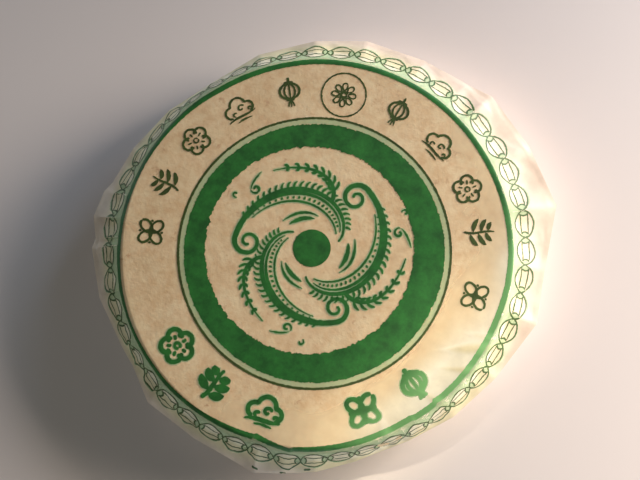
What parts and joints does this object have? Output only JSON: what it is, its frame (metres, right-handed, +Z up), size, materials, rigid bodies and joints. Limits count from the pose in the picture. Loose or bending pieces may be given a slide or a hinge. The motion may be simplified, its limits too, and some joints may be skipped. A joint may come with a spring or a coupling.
{
  "type": "wrapped mooncake",
  "caption": "Large flat round mooncake sealed in printed greaseproof film, with a low faceted margin of film folded under it to a flat foot.",
  "frame": {"origin": "centre of the solid's box, on the plane that its foot rests on", "axes": "+Z up out of the printed face, +Y towards the top of the print, +X to the print's right"},
  "size_m": [0.1726, 0.1688, 0.0238],
  "materials": {
    "film": "milky see-through greaseproof film, satin, softly creased",
    "crust": "matt pale baked crust with faint brown flecks",
    "ink": "green printing ink, slightly uneven"
  },
  "bodies": {
    "root": {"wrapped_mooncake": "film"}
  },
  "joints": []
}
